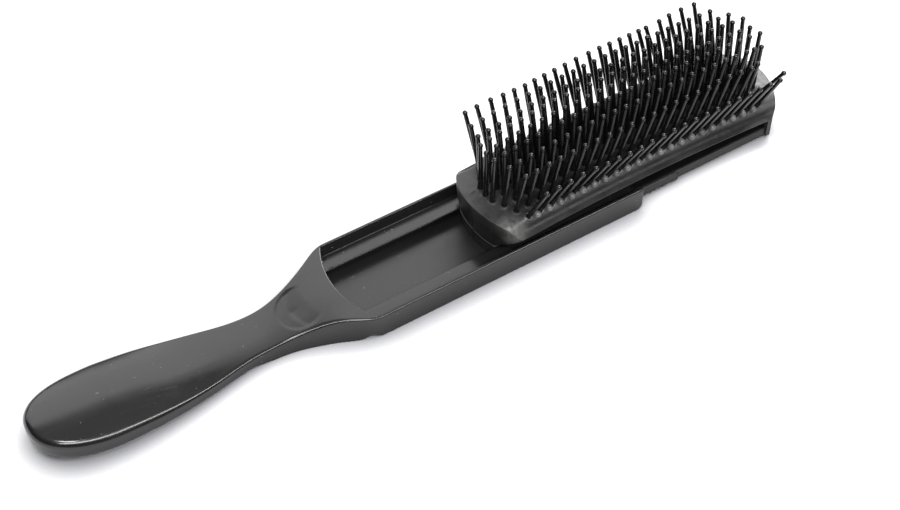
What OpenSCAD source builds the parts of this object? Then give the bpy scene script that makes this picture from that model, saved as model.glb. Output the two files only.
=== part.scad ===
// Nine-row styling brush with a slide-out cushion.
// Millimetres. X runs along the brush towards the tip of the head, +Y to the
// left, +Z up through the pins. The origin is the middle of the flat underside
// of the head, on the surface that the brush lies on.
// The cushion is drawn partly slid out of the head, towards the tip.

/* [Head tray] */
// Length of the straight side walls of the head
tray_len = 109; // [100:0.5:120]
// Outer width of the head
tray_w = 40; // [38:0.5:44]
// Height of the side walls above the underside
tray_h = 9.7; // [9:0.1:11]
// Thickness of the tray floor
floor_t = 1.0; // [0.8:0.1:1.2]
// Width of the wall's top edge
rim_t = 1.3; // [1:0.1:1.8]
// Height of the rails' upper face above the underside
rail_top = 5.6; // [5.4:0.1:6]
// Thickness of each rail
rail_t = 1.0; // [0.8:0.1:1]
// Half of the gap between the two rails
rail_gap = 11.3; // [11:0.1:12]
// Radius of the curved end of the recess
recess_r = 36.8; // [34:0.2:40]
// How far the recess reaches past the side walls towards the handle
recess_past = 6.4; // [5.5:0.1:7]

/* [Handle] */
// Length of the handle from the end of the side walls to the butt
handle_len = 117.2; // [105:0.5:125]
// Scale of the grip's width
grip_scale = 1.0; // [0.9:0.01:1.1]
// Depth of the thumb rest
thumb_d = 1.1; // [0:0.1:1.4]

/* [Cushion] */
// Travel from the position drawn to fully home
home_travel = 55; // [54:0.5:56]
// Length of the cushion along its middle
pad_len = 129.6; // [128:0.1:130.5]
// Half width of the cushion's lip
lip_half = 20; // [19:0.1:20.4]
// Height of the lip's lower edge above the brush's underside
lip_z = 12.8; // [12.4:0.1:13.4]
// Height of the cushion's crown at its ends
crown_z = 19.7; // [19:0.1:20.6]
// How far the cushion arches up in the middle of its length
arch = 3.0; // [0:0.1:3.4]
// Gap between the head's open end and the cushion's end wall when home
nose_gap = 5.3; // [1:0.1:5.5]
// Half width of the flange that runs under the rails
flange_half = 16.4; // [15.6:0.1:16.8]

/* [Pins] */
// Distance between pins along a row
pitch = 4.8; // [4.7:0.05:4.85]
// Visible length of a pin, to the centre of its ball
pin_len = 22.2; // [18:0.1:23]
// Radius of a pin's shank
pin_r = 0.7; // [0.5:0.05:0.9]
// Radius of the ball on a pin
ball_r = 0.95; // [0.85:0.05:1.2]

/* [Hidden] */

hw = tray_w / 2;                       // half width of the head
x_open = tray_len / 2;                 // open end of the tray
x_kink = -tray_len / 2;                // where the side walls end
x_butt = x_kink - handle_len;          // end of the grip
x_rec = x_kink - recess_past;          // deepest point of the recess
fit = 0.3;                             // clearance all round the flange
seat_gap = 0.8;                        // gap at the end of the recess when home
ch_half = flange_half + 0.8;           // half width of the channel
rail_under = rail_top - rail_t;        // underside of the rails
web_half = rail_gap - 0.4;             // half width of the cushion's web
web_x0 = x_rec + seat_gap + home_travel;    // near end of the web, on its middle
groove_x1 = x_open + nose_gap + home_travel; // closed end of the cushion's grooves
end_r = 27.6;                          // plan radius of the cushion's ends
pad_x0 = web_x0 - 1.8;                 // near end of the cushion's crown
pad_x1 = pad_x0 + pad_len;             // far end of the cushion's crown
pad_xm = (pad_x0 + pad_x1) / 2;

black = [0.06, 0.06, 0.065];
rubber_black = [0.09, 0.09, 0.09];
pin_black = [0.04, 0.04, 0.045];

// Value from a table [[x, v1, v2, ...], ...] sorted by x, smoothly joined
function seg(t, x, i = 0) = (i >= len(t) - 2 || x < t[i + 1][0]) ? i : seg(t, x, i + 1);
function cr(a, b, c, d, u) = b + 0.5 * u * (c - a + u * (2 * a - 5 * b + 4 * c - d + u * (3 * (b - c) + d - a)));
function tab(t, x, k) =
    let (n = len(t), i = seg(t, x), u = max(0, min(1, (x - t[i][0]) / (t[i + 1][0] - t[i][0]))))
    cr(t[max(0, i - 1)][k], t[i][k], t[i + 1][k], t[min(n - 1, i + 2)][k], u);

// Handle stations, measured from the butt towards the head:
// [distance, half width, crease height, underside height, crown, squareness]
handle_tab = [
    [ 26, 15.9, 8.7, 0.7, 3.0, 4.2],
    [ 38, 15.5, 7.5, 0.4, 2.8, 4.2],
    [ 46, 14.6, 6.7, 0.25, 2.4, 4.5],
    [ 54, 13.2, 6.0, 0.15, 2.0, 4.9],
    [ 62, 11.6, 5.7, 0.1, 1.6, 5.6],
    [ 70,  9.8, 5.6, 0.05, 1.2, 6.2],
    [ 76,  8.9, 5.5, 0.05, 1.0, 7],
    [ 82,  8.8, 5.6, 0.05, 0.9, 8],
    [ 88,  9.4, 6.4, 0.05, 0.8, 10],
    [ 92, 10.1, 7.2, 0.05, 0.7, 11],
    [ 96, 11.2, 8.3, 0.05, 0.5, 12],
    [100, 12.7, 9.1, 0.05, 0.3, 12],
    [104, 14.7, 9.7, 0.05, 0.15, 12],
    [108, 16.9, 9.85, 0.05, 0.05, 12],
    [112, 19.0, 9.8, 0.05, 0, 12],
    [115.5, 19.9, 9.7, 0.05, 0, 14],
    [118, 19.9, 9.65, 0.05, 0, 14]];

function h_s(x) = (x - x_butt) * 115.5 / handle_len;   // table distance
function cap_u(s) = max(0, min(1, (26 - s) / 26));      // 0 in the grip, 1 at the butt
function h_w(s) = (s >= 26 ? tab(handle_tab, s, 1) : 15.9 * pow(max(0, 1 - pow(cap_u(s), 2.3)), 1 / 2.3))
                  * (s > 88 ? 1 + (hw / 20 - 1) * (s - 88) / 28 : s < 70 ? grip_scale : 1 + (grip_scale - 1) * (88 - s) / 18);
function h_zc(s) = s >= 26 ? tab(handle_tab, s, 2) : 8.7 + 3.5 * pow(cap_u(s), 1.35);
function h_zb(s) = s >= 26 ? tab(handle_tab, s, 3) : 0.7 + 7.6 * (1 - pow(max(0, 1 - pow(cap_u(s), 4)), 0.4));
function h_cr(s) = s >= 26 ? tab(handle_tab, s, 4) : 3.0 * pow(max(0, 1 - pow(cap_u(s), 2.3)), 0.6);
function h_n(s) = s >= 26 ? tab(handle_tab, s, 5) : 4.2 - 0.8 * cap_u(s);
// The thumb rest, a shallow dish on the neck
function dish(s, y) = thumb_d * exp(-pow((s - 94) / 6.5, 4)) * exp(-pow(y / 7.5, 4));

top_n = 12;      // steps across the handle's upper face
low_n = 16;      // steps round its underside
function h_top(s, y) = h_zc(s) + h_cr(s) * (1 - pow(abs(y) / h_w(s), 2)) - dish(s, y);
function spow(v, p) = sign(v) * pow(abs(v), p);
function h_ring(s) = let (w = h_w(s), zc = h_zc(s), zb = h_zb(s), n = h_n(s)) concat(
    [for (j = [0:top_n]) let (y = -w * cos(180 * j / top_n)) [y, h_top(s, y)]],
    [for (j = [1:low_n - 1]) let (a = 180 * j / low_n)
        [w * spow(cos(a), 2 / n), zc - (zc - zb) * pow(sin(a), 2 / n)]]);
// Stations, closer together round the butt
h_st = concat([for (i = [0:9]) 26 * (1 - sin(90 - 9 * i)) + 0.02 + 0.1 * (i == 0 ? 1 : 0)],
              [for (s = [26:3:114]) s], [116.5]);

// Closed skin through a row of rings, each end closed by a fan of triangles
module loft(rings, xs, mid) {
    n = len(rings[0]);
    m = len(rings);
    polyhedron(
        points = concat([for (i = [0:m - 1]) for (p = rings[i]) [xs[i], p[0], p[1]]],
                        [[xs[0], 0, mid[0]], [xs[m - 1], 0, mid[1]]]),
        faces = concat(
            [for (j = [0:n - 1]) [m * n, (j + 1) % n, j]],
            [for (i = [0:m - 2]) for (j = [0:n - 1]) let (k = (j + 1) % n)
                each [[i * n + j, i * n + k, (i + 1) * n + k], [i * n + j, (i + 1) * n + k, (i + 1) * n + j]]],
            [for (j = [0:n - 1]) [m * n + 1, (m - 1) * n + j, (m - 1) * n + (j + 1) % n]]));
}

module grip() {
    loft([for (s = h_st) h_ring(s)], [for (s = h_st) x_butt + s * handle_len / 115.5],
         [for (s = [h_st[0], h_st[len(h_st) - 1]]) (h_zc(s) + h_zb(s)) / 2]);
}

// Outer block of the head, open end rounded underneath
module head_block() {
    intersection() {
        linear_extrude(tray_h) translate([x_kink - 0.4, -hw]) square([tray_len + 0.4, tray_w]);
        rotate([90, 0, 0]) translate([0, 0, -hw - 1]) linear_extrude(tray_w + 2) union() {
            translate([x_kink - 5, 0]) square([tray_len + 2.6, tray_h + 1]);
            translate([x_kink - 5, 2.4]) square([tray_len + 5, tray_h]);
            translate([x_open - 2.4, 2.4]) circle(r = 2.4, $fn = 48);
        }
    }
}

// The space inside the head: wide above the rails, undercut below them
module head_space() {
    intersection() {
        translate([x_rec - 20, 0, 0]) rotate([90, 0, 90]) linear_extrude(tray_len + 60) polygon([
            [-ch_half, floor_t], [ch_half, floor_t], [ch_half, rail_under], [rail_gap, rail_under],
            [rail_gap, rail_top], [hw - rim_t - 1, rail_top], [hw - rim_t, tray_h], [hw - rim_t, tray_h + 5],
            [-hw + rim_t, tray_h + 5], [-hw + rim_t, tray_h], [-hw + rim_t + 1, rail_top], [-rail_gap, rail_top],
            [-rail_gap, rail_under], [-ch_half, rail_under]]);
        linear_extrude(tray_h + 4) union() {
            intersection() {
                translate([x_rec + recess_r, 0]) circle(r = recess_r, $fn = 120);
                translate([x_rec - 1, -hw]) square([recess_past + 8, tray_w]);
            }
            translate([x_rec + recess_past + 3, -hw]) square([tray_len + 10, tray_w]);
        }
    }
}

module handle() {
    color(black) difference() {
        union() {
            head_block();
            grip();
        }
        head_space();
    }
}

// ---- cushion ----
function arch_at(x) = arch * max(0, 1 - pow((x - pad_xm) / (pad_len / 2), 2));
// Height of the cushion's upper face across its width, before the arch
pad_tab = [[0, 0], [5, -0.2], [10, -0.9], [13, -1.7], [16, -2.95], [18, -5.0], [19, -5.7], [20, -6.5]];
function pad_z(y) = crown_z + tab(pad_tab, abs(y) * 20 / lip_half, 1);
// Height of its underside: it slopes down from the lip to the web
function under_z(y) = abs(y) > lip_half - 0.5 ? lip_z : max(lip_z - 5.9, lip_z - 1.3 - 0.55 * (lip_half - 1 - abs(y)));
function end_in(y) = end_r - sqrt(end_r * end_r - y * y);   // how far a curved end falls back
function seat_in(y) = recess_r - fit - sqrt(pow(recess_r - fit, 2) - y * y);
// The ends lean inwards below the crown, down to the seat
function lean(y, z) = (pad_z(y) - z) / (pad_z(y) - rail_top);
function x_near(y, z) = (pad_x0 + end_in(y)) * (1 - lean(y, z)) + (web_x0 + seat_in(y)) * lean(y, z);
function x_far(y, z) = pad_x1 - end_in(y) - 0.6 * lean(y, z);
function px(u, y, z) = x_near(y, z) * (1 - u) + x_far(y, z) * u;

pad_ys = [for (v = [-20, -19, -18, -16, -13, -10, -5, 0, 5, 10, 13, 16, 18, 19, 20]) v * lip_half / 20];
pad_nu = 16;

module pad_crown() {
    ny = len(pad_ys);
    n = ny * 2;
    // each ring runs across the top and back across the bottom
    rings = [for (i = [0:pad_nu]) let (u = i / pad_nu) concat(
        [for (y = pad_ys) let (x = px(u, y, pad_z(y))) [x, y, pad_z(y) + arch_at(x)]],
        [for (j = [ny - 1:-1:0]) let (y = pad_ys[j], x = px(u, y, under_z(y))) [x, y, under_z(y) + arch_at(x)]])];
    polyhedron(
        points = [for (r = rings) for (p = r) p],
        faces = concat(
            [for (j = [0:ny - 2]) each [[j + 1, j, n - 1 - j], [j + 1, n - 1 - j, n - 2 - j]]],
            [for (i = [0:pad_nu - 1]) for (j = [0:n - 1]) let (k = (j + 1) % n)
                each [[i * n + j, i * n + k, (i + 1) * n + k], [i * n + j, (i + 1) * n + k, (i + 1) * n + j]]],
            [for (j = [0:ny - 2]) let (o = pad_nu * n) each [[o + j, o + j + 1, o + n - 1 - j], [o + j + 1, o + n - 2 - j, o + n - 1 - j]]]));
}

// Plan of the cushion's lower parts, curved to seat in the recess
module near_plan(half, x1) {
    intersection() {
        translate([web_x0 + recess_r - fit, 0]) circle(r = recess_r - fit, $fn = 120);
        translate([web_x0 - 1, -half]) square([12, 2 * half]);
    }
    translate([web_x0 + 10, -half]) square([x1 - web_x0 - 10, 2 * half]);
}

module pad_base() {
    step_x = groove_x1 - 41;
    // web between the rails
    translate([0, 0, floor_t + fit]) linear_extrude(lip_z + 1.2 - floor_t - fit) near_plan(web_half, groove_x1 + 1);
    // flange under the rails, narrower towards the tip
    translate([0, 0, floor_t + fit]) linear_extrude(rail_under - floor_t - 2 * fit) {
        near_plan(flange_half, step_x);
        translate([step_x - 1, -flange_half + 0.9]) square([groove_x1 - step_x + 2, 2 * flange_half - 1.8]);
    }
    // wall that closes the grooves at the tip
    translate([0, 0, floor_t + fit]) linear_extrude(lip_z + 1 - floor_t - fit) intersection() {
        translate([groove_x1, -flange_half]) square([20, 2 * flange_half]);
        translate([pad_x1 - 0.8 - end_r, 0]) circle(r = end_r, $fn = 120);
    }
}

module cushion_pad() {
    color(rubber_black) difference() {
        union() {
            pad_crown();
            pad_base();
        }
        // open hollow in the underside
        translate([0, 0, -1]) linear_extrude(lip_z + 2.8) union() {
            translate([web_x0 + 8, -6]) square([groove_x1 - web_x0 - 12, 12]);
            translate([web_x0 + 10, -8]) square([groove_x1 - web_x0 - 16, 16]);
            for (x = [web_x0 + 10, groove_x1 - 6]) for (y = [-6, 6])
                translate([x, y]) circle(r = 2, $fn = 32);
        }
    }
}

// ---- pins ----
// [distance of the row from the middle, lean outwards, offset of the first pin, pins]
row_tab = [
    [ 15.2,  25.0, 13.0, 22],
    [ 11.4,  11.5, 10.6, 23],
    [  7.4,   6.0,  8.2, 24],
    [  3.7,   2.5,  5.8, 25],
    [  0,     0,    5.4, 25],
    [ -3.7,  -2.5,  5.8, 25],
    [ -7.4,  -6.0,  8.2, 24],
    [-11.4, -11.5, 10.6, 23],
    [-15.2, -25.0, 13.0, 22]];
first_x = web_x0 - 0.4;

module pin() {
    // shank, rooted in the strip below the rubber's surface
    translate([0, 0, -3.2]) cylinder(h = pin_len + 3.2, r = pin_r, $fn = 24);
    translate([0, 0, pin_len]) sphere(r = ball_r, $fn = 24);
}

module pin_strip(k) {
    r = row_tab[k - 1];
    xs = [for (i = [0:r[3] - 1]) first_x + r[2] + pitch * i];
    bx = concat([xs[0] - 1.6], xs, [xs[r[3] - 1] + 1.6]);
    color(pin_black) translate([0, r[0], pad_z(r[0])]) rotate([-r[1], 0, 0]) {
        for (x = xs) translate([x, 0, arch_at(x)]) pin();
        // strip that joins the row's pins under the rubber
        rotate([90, 0, 0]) translate([0, 0, -0.9]) linear_extrude(1.8) polygon(concat(
            [for (x = bx) [x, arch_at(x) - 2.4]],
            [for (i = [len(bx) - 1:-1:0]) [bx[i], arch_at(bx[i]) - 4.0]]));
    }
}

handle();
cushion_pad();
pin_strip(1);  // pin_strip_1
pin_strip(2);  // pin_strip_2
pin_strip(3);  // pin_strip_3
pin_strip(4);  // pin_strip_4
pin_strip(5);  // pin_strip_5
pin_strip(6);  // pin_strip_6
pin_strip(7);  // pin_strip_7
pin_strip(8);  // pin_strip_8
pin_strip(9);  // pin_strip_9
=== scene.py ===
import math

import bmesh
import bpy
import numpy as np
from mathutils import Matrix, Vector


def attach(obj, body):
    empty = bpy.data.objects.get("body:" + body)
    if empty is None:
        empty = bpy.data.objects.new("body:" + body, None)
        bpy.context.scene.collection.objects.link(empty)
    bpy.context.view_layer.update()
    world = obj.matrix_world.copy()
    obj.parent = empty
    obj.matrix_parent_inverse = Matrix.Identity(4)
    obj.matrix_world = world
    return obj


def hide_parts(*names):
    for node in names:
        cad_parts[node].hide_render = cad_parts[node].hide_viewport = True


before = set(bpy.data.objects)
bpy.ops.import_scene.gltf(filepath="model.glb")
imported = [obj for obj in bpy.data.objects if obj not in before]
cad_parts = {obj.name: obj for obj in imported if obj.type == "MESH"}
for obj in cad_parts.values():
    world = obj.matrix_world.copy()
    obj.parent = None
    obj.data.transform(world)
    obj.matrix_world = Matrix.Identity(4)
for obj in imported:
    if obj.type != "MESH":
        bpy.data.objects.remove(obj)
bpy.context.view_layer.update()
scene = bpy.context.scene

MM = 0.001          # everything below is written in millimetres


# ------------------------------------------------------------------ camera
def make_camera():
    az, el, roll = (math.radians(v) for v in (-32.617, 47.421, -0.436))
    back = Vector((math.sin(az) * math.cos(el), -math.cos(az) * math.cos(el), math.sin(el)))
    right = Vector((0, 0, 1)).cross(back).normalized()
    up = back.cross(right)
    r2 = math.cos(roll) * right + math.sin(roll) * up
    u2 = -math.sin(roll) * right + math.cos(roll) * up
    cam = bpy.data.cameras.new("camera")
    cam.sensor_fit = "HORIZONTAL"
    cam.sensor_width = 36.0
    cam.lens = 63.903
    cam.clip_start, cam.clip_end = 0.02, 50.0
    ob = bpy.data.objects.new("camera", cam)
    scene.collection.objects.link(ob)
    m = Matrix((r2, u2, back)).transposed().to_4x4()
    m.translation = Vector((-15.686, -1.365, 0.0)) * MM + back * 559.86 * MM
    ob.matrix_world = m
    scene.camera = ob
    return ob


# ------------------------------------------------------------------ helpers
def spline(xs, ys):
    """Natural cubic spline through listed stations."""
    xs, ys = np.array(xs, float), np.array(ys, float)
    order = np.argsort(xs)
    xs, ys = xs[order], ys[order]
    n = len(xs)
    h = np.diff(xs)
    a = np.zeros((n, n))
    b = np.zeros(n)
    a[0, 0] = a[-1, -1] = 1
    for i in range(1, n - 1):
        a[i, i - 1], a[i, i], a[i, i + 1] = h[i - 1], 2 * (h[i - 1] + h[i]), h[i]
        b[i] = 6 * ((ys[i + 1] - ys[i]) / h[i] - (ys[i] - ys[i - 1]) / h[i - 1])
    m = np.linalg.solve(a, b)

    def f(x):
        x = np.asarray(x, float)
        i = np.clip(np.searchsorted(xs, x) - 1, 0, n - 2)
        t = np.clip(x, xs[0], xs[-1])
        p, q = xs[i + 1] - t, t - xs[i]
        return (m[i] * p ** 3 + m[i + 1] * q ** 3) / (6 * h[i]) + (ys[i] / h[i] - m[i] * h[i] / 6) * p + (ys[i + 1] / h[i] - m[i + 1] * h[i] / 6) * q

    return f


def sstep(lo, hi, x):
    t = np.clip((np.asarray(x, float) - lo) / (hi - lo), 0, 1)
    return t * t * (3 - 2 * t)


def smin(a, b, k):
    """Smooth minimum."""
    h = np.clip(0.5 + 0.5 * (b - a) / k, 0, 1)
    return b * (1 - h) + a * h - k * h * (1 - h)


def smax(a, b, k):
    return -smin(-a, -b, k)


def noise2(seed, n=24):
    """A smooth, repeatable bumpy function of two coordinates, about -1 to 1."""
    rng = np.random.RandomState(seed)
    ang = rng.rand(n) * 2 * math.pi
    k = 0.5 + rng.rand(n)
    ph = rng.rand(n) * 2 * math.pi

    def f(x, y):
        s = 0
        for a, kk, p in zip(ang, k, ph):
            s = s + np.sin(kk * (x * math.cos(a) + y * math.sin(a)) * 2 * math.pi + p)
        return s / math.sqrt(n / 2.0) / 1.6

    return f


def new_object(name, verts, faces, weld=None, smooth=True, recalc=True, fill=False, sharp=None):
    """Mesh object from points in millimetres."""
    me = bpy.data.meshes.new(name)
    me.from_pydata([tuple(v) for v in (np.asarray(verts) * MM).tolist()], [], [tuple(int(i) for i in f) for f in faces])
    bm = bmesh.new()
    bm.from_mesh(me)
    if weld:
        bmesh.ops.remove_doubles(bm, verts=bm.verts, dist=weld * MM)
        bmesh.ops.dissolve_degenerate(bm, dist=weld * MM * 0.5, edges=bm.edges)
    if fill:
        edges = [e for e in bm.edges if e.is_boundary]
        r = bmesh.ops.holes_fill(bm, edges=edges, sides=0)
        bmesh.ops.triangulate(bm, faces=[f for f in r["faces"] if len(f.verts) > 4], ngon_method="EAR_CLIP")
    if recalc:
        bmesh.ops.recalc_face_normals(bm, faces=bm.faces)
    if sharp:
        for e in bm.edges:
            if len(e.link_faces) == 2 and e.calc_face_angle(0) > math.radians(sharp):
                e.smooth = False
    bm.to_mesh(me)
    bm.free()
    me.polygons.foreach_set("use_smooth", [smooth] * len(me.polygons))
    ob = bpy.data.objects.new(name, me)
    scene.collection.objects.link(ob)
    return ob


def grid_quads(ni, nj, base=0, close_j=False):
    q = []
    for i in range(ni - 1):
        for j in range(nj if close_j else nj - 1):
            k = (j + 1) % nj
            q.append((base + i * nj + j, base + i * nj + k, base + (i + 1) * nj + k, base + (i + 1) * nj + j))
    return q


def weighted(ob):
    m = ob.modifiers.new("normals", "WEIGHTED_NORMAL")
    m.mode = "FACE_AREA"
    m.weight = 60
    m.keep_sharp = True
    return ob


# ------------------------------------------------------------------ materials
def nt(name):
    m = bpy.data.materials.new(name)
    m.use_nodes = True
    t = m.node_tree
    for n in list(t.nodes):
        t.nodes.remove(n)
    out = t.nodes.new("ShaderNodeOutputMaterial")
    bs = t.nodes.new("ShaderNodeBsdfPrincipled")
    t.links.new(bs.outputs[0], out.inputs[0])
    co = t.nodes.new("ShaderNodeTexCoord")
    return m, t, bs, co


def add(t, kind, **inputs):
    n = t.nodes.new(kind)
    for k, v in inputs.items():
        if k in n.inputs:
            n.inputs[k].default_value = v
        else:
            setattr(n, k, v)
    return n


def noise(t, vec, scale, detail=4.0, rough=0.55, stretch=None, distort=0.0):
    if stretch:
        mp = t.nodes.new("ShaderNodeMapping")
        mp.inputs["Scale"].default_value = stretch
        t.links.new(vec, mp.inputs["Vector"])
        vec = mp.outputs[0]
    n = t.nodes.new("ShaderNodeTexNoise")
    n.inputs["Scale"].default_value = scale
    n.inputs["Detail"].default_value = detail
    n.inputs["Roughness"].default_value = rough
    n.inputs["Distortion"].default_value = distort
    t.links.new(vec, n.inputs["Vector"])
    return n.outputs["Fac"]


def remap(t, val, a, b, c, d):
    n = t.nodes.new("ShaderNodeMapRange")
    for k, v in zip(("From Min", "From Max", "To Min", "To Max"), (a, b, c, d)):
        n.inputs[k].default_value = v
    t.links.new(val, n.inputs["Value"])
    return n.outputs[0]


def mathn(t, op, a, b=None):
    n = t.nodes.new("ShaderNodeMath")
    n.operation = op
    for i, v in enumerate((a, b)):
        if v is None:
            continue
        if isinstance(v, (int, float)):
            n.inputs[i].default_value = v
        else:
            t.links.new(v, n.inputs[i])
    return n.outputs[0]


def mixc(t, fac, a, b):
    n = t.nodes.new("ShaderNodeMix")
    n.data_type = "RGBA"
    n.inputs[6].default_value = (*a, 1)
    n.inputs[7].default_value = (*b, 1)
    t.links.new(fac, n.inputs[0])
    return n.outputs[2]


def bump(t, height, strength, dist, prev=None):
    n = t.nodes.new("ShaderNodeBump")
    n.inputs["Strength"].default_value = strength
    n.inputs["Distance"].default_value = dist
    t.links.new(height, n.inputs["Height"])
    if prev is not None:
        t.links.new(prev, n.inputs["Normal"])
    return n.outputs[0]


def plastic_black():
    """Injection-moulded black plastic: satin, with flow mottling, hairline handling marks and fine dust."""
    m, t, bs, co = nt("moulded_plastic_black")
    v = co.outputs["Object"]
    flow = noise(t, v, 38, 3, 0.5, stretch=(0.35, 1, 1))
    cloud = noise(t, v, 70, 4, 0.6, stretch=(0.5, 1, 1), distort=0.8)
    fine = noise(t, v, 900, 3, 0.6)
    grain = noise(t, v, 2600, 2, 0.5)
    hair = noise(t, v, 700, 2, 0.7, stretch=(0.06, 1.6, 1.0), distort=0.4)
    hair2 = noise(t, v, 420, 2, 0.7, stretch=(1.0, 0.09, 1.0), distort=0.6)
    dust = remap(t, noise(t, v, 620, 2, 0.4), 0.73, 0.775, 0.0, 1.0)
    col = mixc(t, flow, (0.0060, 0.0058, 0.0058), (0.0100, 0.0098, 0.0096))
    mx = t.nodes.new("ShaderNodeMix")
    mx.data_type = "RGBA"
    t.links.new(mathn(t, "MULTIPLY", dust, 0.6), mx.inputs[0])
    t.links.new(col, mx.inputs[6])
    mx.inputs[7].default_value = (0.10, 0.098, 0.095, 1)
    t.links.new(mx.outputs[2], bs.inputs["Base Color"])
    r = remap(t, flow, 0.3, 0.7, 0.13, 0.19)
    r = mathn(t, "ADD", r, remap(t, cloud, 0.35, 0.7, -0.03, 0.08))
    r = mathn(t, "ADD", r, remap(t, fine, 0.35, 0.75, -0.015, 0.03))
    r = mathn(t, "ADD", r, remap(t, hair, 0.62, 0.72, 0.0, 0.09))
    sep = t.nodes.new("ShaderNodeSeparateXYZ")
    t.links.new(v, sep.inputs[0])
    inner = mathn(t, "MULTIPLY", remap(t, sep.outputs[2], 0.0030, 0.0046, 1.0, 0.0), remap(t, mathn(t, "ABSOLUTE", sep.outputs[1]), 0.0165, 0.0175, 1.0, 0.0))
    r = mathn(t, "ADD", r, mathn(t, "MULTIPLY", inner, 0.15))
    t.links.new(r, bs.inputs["Roughness"])
    bs.inputs["IOR"].default_value = 1.5
    n1 = bump(t, grain, 0.10, 0.00002)
    n2 = bump(t, flow, 0.16, 0.0006, n1)
    n3 = bump(t, remap(t, hair, 0.64, 0.70, 0, 1), 0.20, 0.00002, n2)
    n4 = bump(t, remap(t, hair2, 0.66, 0.72, 0, 1), 0.16, 0.00002, n3)
    t.links.new(n4, bs.inputs["Normal"])
    return m


def rubber_black():
    """Matt moulded rubber with a dusty bloom and small unevenness."""
    m, t, bs, co = nt("cushion_rubber_black")
    v = co.outputs["Object"]
    mott = noise(t, v, 90, 5, 0.6)
    fine = noise(t, v, 1400, 4, 0.65)
    bloom = noise(t, v, 210, 6, 0.7, distort=0.5)
    col = mixc(t, mathn(t, "MULTIPLY", remap(t, mott, 0.35, 0.7, 0.0, 1.0), remap(t, bloom, 0.3, 0.75, 0.1, 1.0)), (0.009, 0.0089, 0.0087), (0.036, 0.0354, 0.0347))
    # painted highlight: a paler patch round the cushion's near corner
    dist = t.nodes.new("ShaderNodeVectorMath")
    dist.operation = "DISTANCE"
    t.links.new(v, dist.inputs[0])
    dist.inputs[1].default_value = (0.0000, -0.0160, 0.0160)
    corner_painted_highlight = mathn(t, "MULTIPLY", remap(t, dist.outputs["Value"], 0.0014, 0.0066, 1.0, 0.0), remap(t, bloom, 0.36, 0.58, 0.0, 1.0))
    mx = t.nodes.new("ShaderNodeMix")
    mx.data_type = "RGBA"
    t.links.new(mathn(t, "MULTIPLY", corner_painted_highlight, 0.8), mx.inputs[0])
    sep = t.nodes.new("ShaderNodeSeparateXYZ")
    t.links.new(v, sep.inputs[0])
    # painted shade: the rubber among the pins is darker and less specular
    pin_field_painted_shade = mathn(t, "MULTIPLY", remap(t, mathn(t, "ABSOLUTE", sep.outputs[1]), 0.0128, 0.0152, 1.0, 0.0), remap(t, sep.outputs[0], 0.001, 0.009, 0.0, 1.0))
    pin_field_painted_shade = mathn(t, "MULTIPLY", pin_field_painted_shade, remap(t, sep.outputs[0], 0.110, 0.116, 1.0, 0.0))
    dk = t.nodes.new("ShaderNodeMix")
    dk.data_type = "RGBA"
    t.links.new(mathn(t, "MULTIPLY", pin_field_painted_shade, 0.85), dk.inputs[0])
    t.links.new(col, dk.inputs[6])
    dk.inputs[7].default_value = (0.0070, 0.0069, 0.0068, 1)
    flank = remap(t, mathn(t, "ABSOLUTE", sep.outputs[1]), 0.0163, 0.0172, 0.0, 1.0)
    t.links.new(mathn(t, "SUBTRACT", remap(t, pin_field_painted_shade, 0.0, 1.0, 0.5, 0.14), mathn(t, "MULTIPLY", flank, 0.26)), bs.inputs["Specular IOR Level"])
    # painted highlight makes the shoulder paler, and painted shade makes the waist below it darker
    ay = mathn(t, "ABSOLUTE", sep.outputs[1])
    along = remap(t, sep.outputs[0], 0.003, 0.009, 0.0, 1.0)
    shoulder_painted_highlight = mathn(t, "MULTIPLY", remap(t, ay, 0.0150, 0.0157, 0.0, 1.0), remap(t, ay, 0.0164, 0.0171, 1.0, 0.0))
    shoulder_painted_highlight = mathn(t, "MULTIPLY", mathn(t, "MULTIPLY", shoulder_painted_highlight, along), remap(t, bloom, 0.3, 0.65, 0.25, 1.0))
    waist_painted_shade = mathn(t, "MULTIPLY", remap(t, ay, 0.0166, 0.0173, 0.0, 1.0), remap(t, ay, 0.0186, 0.0194, 1.0, 0.0))
    pr = t.nodes.new("ShaderNodeMix")
    pr.data_type = "RGBA"
    t.links.new(mathn(t, "MULTIPLY", shoulder_painted_highlight, 0.55), pr.inputs[0])
    t.links.new(dk.outputs[2], pr.inputs[6])
    pr.inputs[7].default_value = (0.085, 0.0835, 0.082, 1)
    wd = t.nodes.new("ShaderNodeMix")
    wd.data_type = "RGBA"
    t.links.new(mathn(t, "MULTIPLY", mathn(t, "MULTIPLY", waist_painted_shade, along), 0.8), wd.inputs[0])
    t.links.new(pr.outputs[2], wd.inputs[6])
    wd.inputs[7].default_value = (0.0050, 0.0049, 0.0048, 1)
    t.links.new(wd.outputs[2], mx.inputs[6])
    mx.inputs[7].default_value = (0.10, 0.098, 0.096, 1)
    t.links.new(mx.outputs[2], bs.inputs["Base Color"])
    t.links.new(remap(t, mathn(t, "ADD", mott, fine), 0.7, 1.3, 0.34, 0.54), bs.inputs["Roughness"])
    bs.inputs["IOR"].default_value = 1.52
    n1 = bump(t, fine, 0.30, 0.00005)
    n2 = bump(t, bloom, 0.30, 0.00018, n1)
    t.links.new(n2, bs.inputs["Normal"])
    return m


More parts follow.
